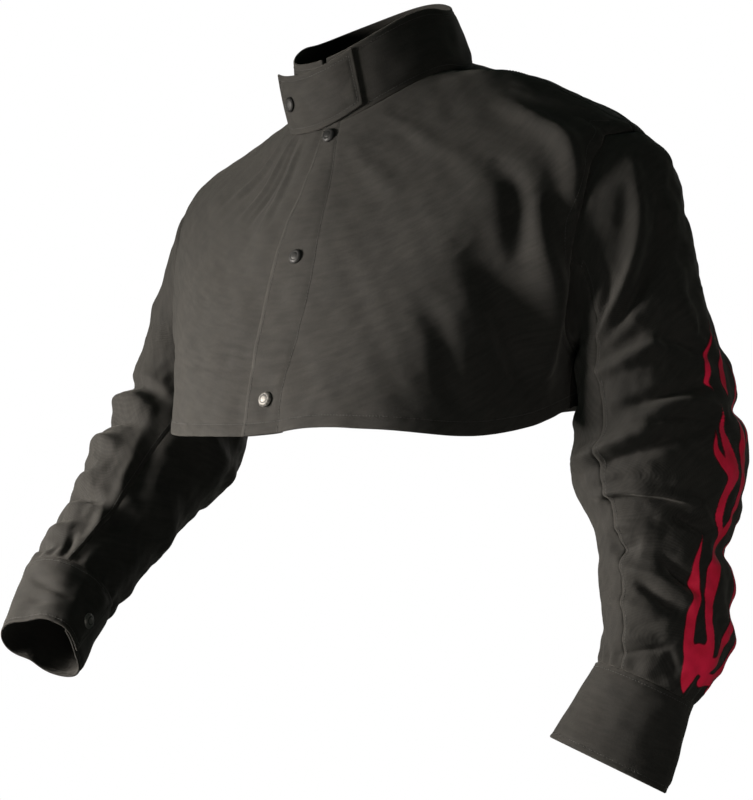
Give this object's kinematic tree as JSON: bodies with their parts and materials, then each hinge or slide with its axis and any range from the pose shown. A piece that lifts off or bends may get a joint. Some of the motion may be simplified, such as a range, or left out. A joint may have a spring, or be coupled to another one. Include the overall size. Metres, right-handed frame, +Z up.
{
  "type": "welding cape sleeve",
  "caption": "Cropped flame-resistant cotton cape with sleeves, stand-up collar with throat tab, overlapping snap front and snap cuffs, held in its worn form",
  "frame": {"origin": "the middle of the neck seam, where the cape sits on the shoulders round the neck", "axes": "+Z up, -Y the way the wearer faces, +X the wearer's left"},
  "size_m": [0.6744, 0.4797, 0.7642],
  "materials": {
    "cloth": "matte heavy cotton sateen, black",
    "snap": "black enamelled snap caps, half gloss"
  },
  "bodies": {
    "root": {"front_left": "cloth", "front_right": "cloth", "back": "cloth", "sleeve_left": "cloth", "sleeve_right": "cloth", "cuff_left": "cloth", "cuff_right": "cloth", "collar": "cloth", "collar_tab": "cloth", "snap_front_1": "snap", "snap_front_2": "snap", "snap_front_3": "snap", "snap_collar": "snap", "snap_cuff_left": "snap", "snap_cuff_right": "snap"}
  },
  "joints": []
}
